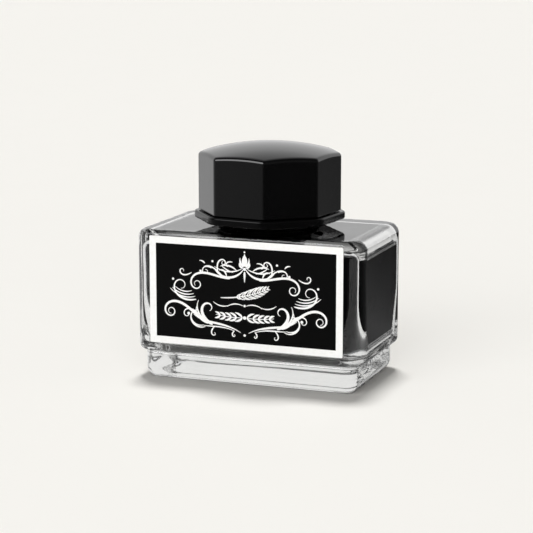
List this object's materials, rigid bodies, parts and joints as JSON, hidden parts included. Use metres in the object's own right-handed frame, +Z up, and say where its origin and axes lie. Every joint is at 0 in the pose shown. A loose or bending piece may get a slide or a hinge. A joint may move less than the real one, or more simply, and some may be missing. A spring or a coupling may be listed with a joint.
{
  "type": "ink bottle",
  "caption": "Square-shouldered clear glass ink bottle on a stepped plinth, full of black ink, with an eight-sided domed screw cap and a framed front label.",
  "frame": {"origin": "centre of the footprint, on the surface that the bottle stands on", "axes": "+Z up through the neck and cap, the label faces -Y, and the bottle is widest along X"},
  "size_m": [0.068, 0.0418, 0.0671],
  "materials": {
    "clear_glass": "pressed soda-lime glass, fire polished",
    "black_ink": "liquid black writing ink",
    "cap_gloss": "moulded black phenolic, polished",
    "insert_gloss": "injection-moulded black polypropylene",
    "wad_board": "pressed pulp board",
    "facing_film": "white polyethylene film",
    "label_paper": "coated paper, printed solid black",
    "label_white": "white pigment foil, hot stamped"
  },
  "bodies": {
    "bottle": {"glass_bottle": "clear_glass", "ink": "black_ink", "front_label": "label_paper", "label_foil": "label_white"},
    "seal": {"seal_wad": "wad_board", "seal_facing": "facing_film"},
    "cap": {"cap_shell": "cap_gloss", "cap_insert": "insert_gloss"}
  },
  "joints": [
    {"name": "cap_lift", "type": "slide", "parent": "bottle", "child": "seal", "axis": [0, 0, 1], "range_m": [0, 0.0176]},
    {"name": "cap_turn", "type": "hinge", "parent": "seal", "child": "cap", "pos_m": [0, 0, 0.0478], "axis": [0, 0, 1], "range_deg": [0, 1500]}
  ],
  "couplings": [
    {"joint": "cap_lift", "follows": "cap_turn", "m_per_rad": 0.00066845}
  ]
}
